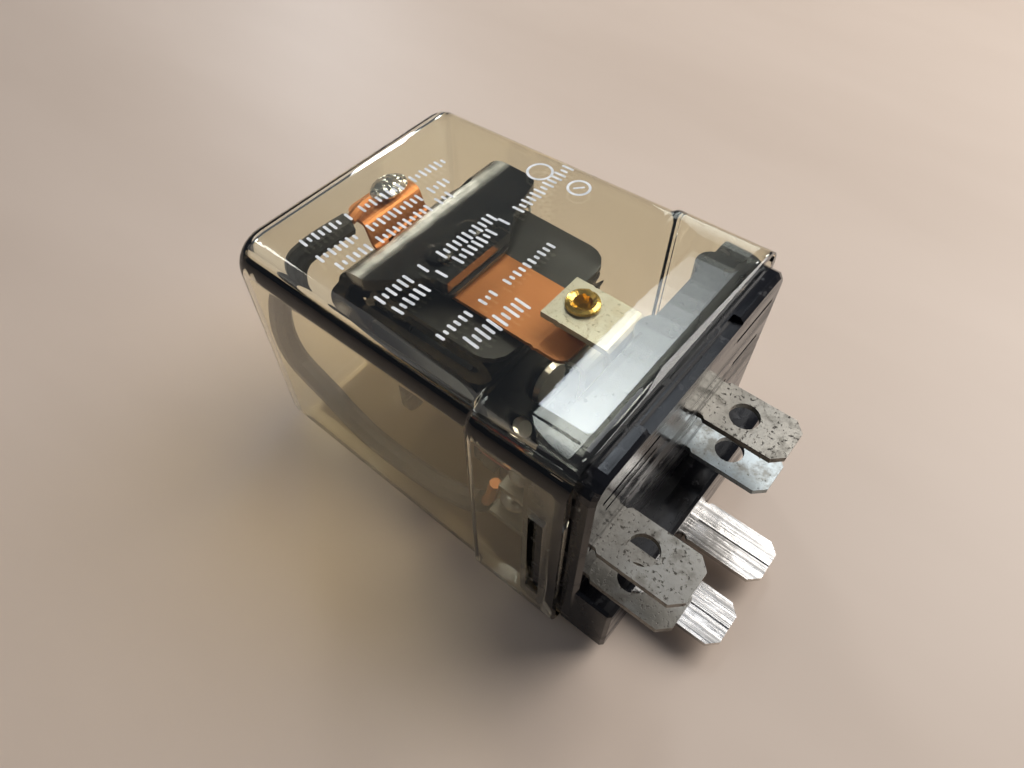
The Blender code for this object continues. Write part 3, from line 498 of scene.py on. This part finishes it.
# Each row has its two ends, its height, and the lengths of its groups of ticks, in millimetres.
ink_rows = [
    ((-25.2, -13.3), (-23.0, 7.8), 1.5, (5.2, 1.0, 6.6, 5.6)),
    ((-21.8, -13.9), (-20.1, 5.2), 1.5, (5.4, 7.6, 3.2)),
    ((-19.3, -13.4), (-18.1, 3.7), 1.5, (4.6, 7.8, 2.6)),
    ((-12.2, -14.3), (-11.5, 3.2), 1.7, (4.4, 1.0, 8.6)),
    ((-9.7, -14.2), (-10.2, 16.1), 1.7, (5.0, 1.0, 6.2, 1.0, 10.6)),
    ((-3.9, -14.2), (-3.4, 3.9), 1.2, (4.6, 2.2, 8.2)),
    ((-1.1, -12.9), (-0.3, -4.3), 2.2, (8.2,)),
]
strokes = []
for start, end, height, groups in ink_rows:
    start, end = np.array(start) * mm, np.array(end) * mm
    total = np.linalg.norm(end - start)
    along = (end - start) / total
    across = np.array([-along[1], along[0]])
    gap = (total - sum(groups) * mm) / max(len(groups) - 1, 1)
    begin = 0.0
    for length in groups:
        for tick in range(round(length * mm / tick_pitch)):
            middle = start + along * (begin + (tick + 0.5) * tick_pitch)
            half = across * height * mm * tick_shares[tick % len(tick_shares)] / 2
            strokes.append(ink_stroke(middle - half, middle + half, ink_half_stroke))
        begin += length * mm + gap
strokes.append(ink_ring((-12.4 * mm, 12.9 * mm), 1.5 * mm, ring_half_stroke))
strokes.append(ink_ring((-6.9 * mm, 13.2 * mm), 1.3 * mm, ring_half_stroke))
strokes.append(ink_stroke((-7.4 * mm, 12.7 * mm), (-6.4 * mm, 13.7 * mm), 0.14 * mm))
linked("front_marks", joined_strokes("front_marks", strokes), white_ink(), "case")


# ------------------------------------------------------------------ black base
# The base and the coil's bobbin are moulded in black phenolic. It is glossy, with a faint flow in its
# skin, specks of dust, and long dull wipes.
def black_phenolic():
    """Glossy black moulding."""
    paint = Paint("black_phenolic")
    flow = paint.noise(160.0, detail=4.0)
    dust = paint.ramp(paint.noise(900.0, detail=2.0), [(0.6, 0.0), (0.75, 1.0)])
    wiped = paint.noise(420.0, detail=5.0, where=paint.stretched((1.0, 0.12, 1.0), (0.0, 0.0, 0.5)))
    wipes = paint.ramp(wiped, [(0.42, 0.0), (0.62, 1.0)])
    paint.set(
        Base_Color=paint.mix(dust * 0.35, (0.006, 0.006, 0.008), (0.060, 0.060, 0.065)),
        Specular_IOR_Level=0.36,
        Roughness=0.06 + 0.10 * flow + 0.15 * dust + 0.22 * wipes,
        Normal=paint.bump(flow, 0.00006, 0.3),
    )
    return paint.material


def dress(material, *names):
    """Give CAD nodes whose shape is right a finished material."""
    for name in names:
        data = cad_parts[name].data
        data.materials.clear()
        data.materials.append(material)


dress(black_phenolic(), "base_block", "bobbin")


# ------------------------------------------------------------------ contact terminals
# Each contact terminal is one brass strip, blanked, bent and tinned. Outside the cover age has left the
# tin dull, with dark specks of oxide and darker blotches; inside it has fewer of them. The two strips
# on the near side get a darker copy of the tin, painted shade, darkest inside the cover.
def dull_tin(name, base, dark, speck_share, inside_colour):
    """Old tin: cloudy, blotched and specked outside the cover, less specked inside it; a dark inside colour
    paints shade.
    """
    paint = Paint(name)
    cloud = paint.noise(260.0, detail=5.0, roughness=0.6)
    grain = paint.noise(2600.0, detail=2.0)
    speck_start = 1.0 - speck_share
    speckled = paint.noise(2400.0, detail=3.0, roughness=0.7)
    speck = paint.ramp(speckled, [(speck_start, 0.0), (speck_start + 0.06, 1.0)])
    blotch = paint.ramp(paint.noise(420.0, detail=4.0, roughness=0.65), [(0.50, 0.0), (0.64, 1.0)])
    tint = paint.mix(cloud, base, tuple(value * 0.72 for value in base))
    worn = paint.mix(blotch * 0.55, tint, dark)
    specked = paint.mix(speck * 0.9, worn, (0.045, 0.038, 0.03))
    outside = paint.ramp(paint.axis("X") * 10.0, [(0.10, 0.0), (0.17, 1.0)])
    inside_look = paint.mix(speck * 0.45, paint.mix(cloud * 0.7, inside_colour, tint), dark)
    paint.set(
        Base_Color=paint.mix(outside, inside_look, specked),
        Metallic=0.85 - 0.5 * speck,
        Roughness=0.36 + 0.2 * blotch + 0.25 * speck,
        Normal=paint.bump(grain * 0.35 + cloud * 0.8 - speck * 0.8, 0.00005, 0.6),
    )
    return paint.material


grey_tin = dull_tin("aged_tin", (0.30, 0.285, 0.25), (0.13, 0.12, 0.10), 0.42, (0.52, 0.495, 0.425))
blue_tin = dull_tin("stained_tin", (0.48, 0.54, 0.56), (0.20, 0.17, 0.12), 0.38, (0.62, 0.62, 0.58))
# A darker copy of the tin for the common and tie strips, as painted shade, darkest inside the cover.
painted_shade_tin = dull_tin("painted_shade_tin", (0.25, 0.24, 0.215), (0.11, 0.10, 0.085), 0.42, (0.14, 0.135, 0.12))
dress(grey_tin, "no_contact_terminal")
dress(painted_shade_tin, "common_terminal", "tie_terminal")
dress(blue_tin, "nc_contact_terminal")


# ------------------------------------------------------------------ coil terminals
# The coil terminals are thin bright tinned strip folded double, with a seam down the middle. The
# solder joints inside the cover share this section: a bright one on the blade's tail, and below it dull
# ones, darkened as painted shade.
def bright_tin(name, colour, rough, streak):
    """Tin drawn to a shine, with long streaks along the strip."""
    paint = Paint(name)
    ripple = paint.noise(500.0, detail=2.0)
    drawn = paint.noise(1300.0, detail=3.0, where=paint.stretched((0.04, 1.0, 1.0)))
    lines = paint.ramp(drawn, [(0.35, 0.0), (0.65, 1.0)])
    paint.set(
        Base_Color=paint.mix(lines * streak, colour, tuple(value * 0.30 for value in colour)),
        Metallic=1.0,
        Roughness=rough + 0.12 * lines,
        Normal=paint.bump(ripple + lines * 0.4, 0.00010, 0.5),
    )
    return paint.material


def crinkled_solder(name, dark, light, rough):
    """Frozen solder, with sharp crinkles and hollows."""
    paint = Paint(name)
    crinkle = paint.cells(1100.0)
    skin = paint.noise(1500.0, detail=3.0)
    paint.set(
        Base_Color=paint.mix(skin, dark, light),
        Metallic=1.0,
        Roughness=rough + 0.12 * skin,
        Normal=paint.bump(crinkle + skin * 0.3, 0.0004, 0.9),
    )
    return paint.material


dress(bright_tin("bright_tin", (0.80, 0.78, 0.75), 0.20, 0.85), "coil_terminal_1", "coil_terminal_2")
dress(crinkled_solder("bright_solder", (0.70, 0.70, 0.70), (0.93, 0.93, 0.92), 0.08), "tail_solder")
# The lower joints get a darker, duller copy of the solder: partly dull solder, partly painted shade.
dress(crinkled_solder("dull_painted_shade_solder", (0.10, 0.10, 0.10), (0.34, 0.33, 0.31), 0.18), "common_solder", "tie_solder")


# ------------------------------------------------------------------ magnet and armature
# The frame and the armature are pressed steel with a dark glossy plating. A light band is painted along
# the armature's bend as a painted highlight. The blade's rivets are plated too. The core and the return
# spring are bare steel.
def dark_steel():
    """Dark plating, with a painted highlight: a light band where X and Z are those of the armature's bend."""
    paint = Paint("dark_plating")
    brushed = paint.noise(700.0, detail=3.0, where=paint.stretched((0.25, 1.0, 1.0)))
    cloud = paint.noise(180.0, detail=3.0)
    ridge = paint.ramp(paint.axis("X") * -10.0, [(0.188, 0.0), (0.198, 1.0), (0.207, 1.0), (0.220, 0.0)])
    height = paint.ramp(paint.axis("Z") * 10.0, [(0.286, 0.0), (0.294, 1.0)])
    # Painted highlight: a light band, rougher than the plating, painted along the armature's bend.
    painted_ridge_highlight = ridge * height * paint.ramp(paint.noise(500.0, detail=3.0), [(0.30, 0.55), (0.6, 1.0)])
    plated = paint.mix(cloud, (0.075, 0.075, 0.080), (0.105, 0.103, 0.100))
    paint.set(
        Base_Color=paint.mix(painted_ridge_highlight, plated, (0.62, 0.63, 0.66)),
        Metallic=1.0,
        Roughness=0.17 + 0.08 * cloud + 0.25 * painted_ridge_highlight,
        Normal=paint.bump(brushed, 0.00002, 0.3),
    )
    return paint.material


def bare_steel():
    """Unplated steel with fine marks of turning."""
    paint = Paint("bare_steel")
    turned_marks = paint.noise(900.0, detail=3.0)
    paint.set(
        Base_Color=paint.mix(turned_marks, (0.42, 0.41, 0.39), (0.55, 0.54, 0.52)),
        Metallic=1.0,
        Roughness=0.28 + 0.1 * turned_marks,
        Normal=paint.bump(turned_marks, 0.00004, 0.4),
    )
    return paint.material


dress(dark_steel(), "frame", "armature", "blade_rivet_1", "blade_rivet_2")
dress(bare_steel(), "core", "return_spring")


# ------------------------------------------------------------------ insulation and coil
# A black fibre sheet lies on the frame and a strip of it under the armature's leg. The coil is wound
# with enamelled copper and taped in black.
def black_fibre():
    """Black fibre sheet, with its fibres across the relay."""
    paint = Paint("black_fibre")
    fibre = paint.noise(1400.0, detail=4.0, where=paint.stretched((1.0, 0.2, 1.0)))
    paint.set(
        Base_Color=paint.mix(fibre, (0.007, 0.007, 0.008), (0.020, 0.020, 0.020)),
        Roughness=0.38 + 0.15 * fibre,
        Normal=paint.bump(fibre, 0.00004, 0.5),
    )
    return paint.material


def black_tape():
    """Black tape, lapped round the coil and creased."""
    paint = Paint("black_tape")
    lap = paint.bands(60.0)
    crease = paint.noise(300.0, detail=4.0)
    paint.set(
        Base_Color=paint.mix(crease, (0.010, 0.011, 0.016), (0.026, 0.028, 0.036)),
        Roughness=0.26 + 0.12 * crease,
        Normal=paint.bump(lap * 0.5 + crease, 0.00010, 0.5),
    )
    return paint.material


def copper_wire(name, colour):
    """Wire, with its turns side by side along the coil."""
    paint = Paint(name)
    turns = paint.bands(900.0)
    paint.set(
        Base_Color=paint.mix(turns, tuple(value * 0.6 for value in colour), colour),
        Metallic=0.7,
        Roughness=0.3,
        Normal=paint.bump(turns, 0.00006, 0.8),
    )
    return paint.material


dress(black_fibre(), "frame_insulator", "blade_insulator")
dress(black_tape(), "coil_wrap")
dress(copper_wire("enamelled_wire", (0.45, 0.15, 0.05)), "winding")
dress(copper_wire("lead_jacket", (0.35, 0.05, 0.035)), "coil_lead_1", "coil_lead_2")


# ------------------------------------------------------------------ blade and contacts
# The blade is rolled copper alloy, matt orange with fine rolling lines, and the braid's ends and the
# shading ring are copper as well. The front contact is a hollow brass rivet; the others are silver.
def rolled_copper():
    """Dull copper with rolling lines along the blade."""
    paint = Paint("rolled_copper")
    rolled = paint.noise(1600.0, detail=3.0, where=paint.stretched((0.06, 1.0, 1.0)))
    cloud = paint.noise(240.0, detail=4.0)
    paint.set(
        Base_Color=paint.mix(cloud, (0.36, 0.14, 0.055), (0.47, 0.205, 0.085)),
        Metallic=0.9,
        Roughness=0.42 + 0.15 * rolled,
        Normal=paint.bump(rolled, 0.00003, 0.5),
    )
    return paint.material


def yellow_brass():
    """Polished brass with darker stains."""
    paint = Paint("yellow_brass")
    stain = paint.noise(800.0, detail=3.0)
    paint.set(
        Base_Color=paint.mix(stain, (0.55, 0.36, 0.08), (0.85, 0.64, 0.22)),
        Metallic=1.0,
        Roughness=0.16 + 0.15 * stain,
        Normal=paint.bump(stain, 0.00005, 0.4),
    )
    return paint.material


dress(rolled_copper(), "movable_blade", "shading_ring", "pigtail_braid_common", "pigtail_braid_tail")
dress(yellow_brass(), "no_fixed_contact")
dress(bright_tin("contact_silver", (0.70, 0.69, 0.66), 0.25, 0.4), "moving_contact", "nc_fixed_contact")


# ------------------------------------------------------------------ pigtail
# The blade's tail and the common terminal are joined by a flexible copper braid in a black woven
# sleeve, soldered at both ends.
def black_sleeve():
    """Woven black sleeving, in small cells."""
    paint = Paint("black_sleeve")
    weave = paint.cells(1500.0)
    paint.set(
        Base_Color=paint.mix(weave, (0.010, 0.010, 0.012), (0.040, 0.040, 0.043)),
        Roughness=0.42 + 0.1 * weave,
        Normal=paint.bump(weave, 0.00008, 0.5),
    )
    return paint.material


dress(black_sleeve(), "pigtail_sleeve")
